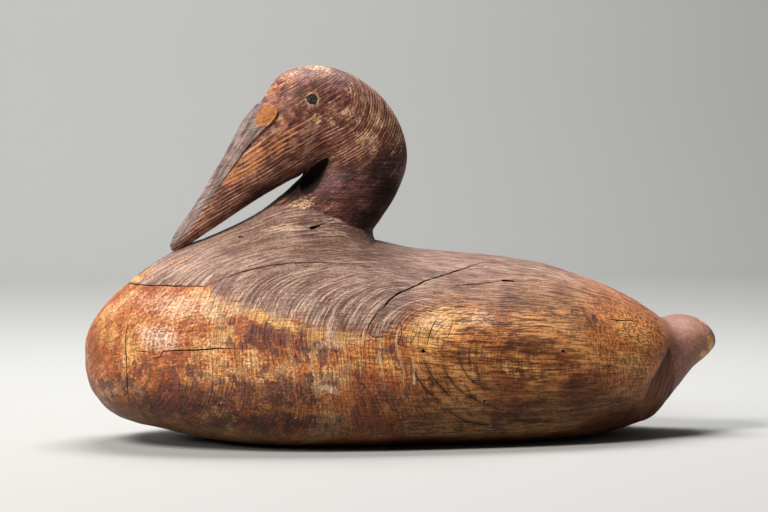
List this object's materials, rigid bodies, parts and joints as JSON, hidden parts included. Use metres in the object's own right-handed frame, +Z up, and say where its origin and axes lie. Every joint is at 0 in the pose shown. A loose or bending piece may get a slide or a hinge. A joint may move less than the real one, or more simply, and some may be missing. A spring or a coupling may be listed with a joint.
{
  "type": "eider decoy",
  "caption": "Carved wooden eider decoy in a preening pose, broad hull with its bill laid on its breast, worn paint over weathered wood.",
  "frame": {"origin": "under the middle of the decoy, on the surface it stands on", "axes": "+Z up, -X towards the breast and the tip of the bill, +X towards the tail, -Y towards the decoy's left side"},
  "size_m": [0.46, 0.2166, 0.2653],
  "materials": {
    "weathered_wood": "weathered, worn smooth, traces of brown paint",
    "worn_paint": "worn maroon brown paint over raised grain",
    "eye_tack": "dull, weathered"
  },
  "bodies": {
    "root": {"body": "weathered_wood", "head_and_neck": "worn_paint", "eye_left": "eye_tack", "eye_right": "eye_tack"}
  },
  "joints": []
}
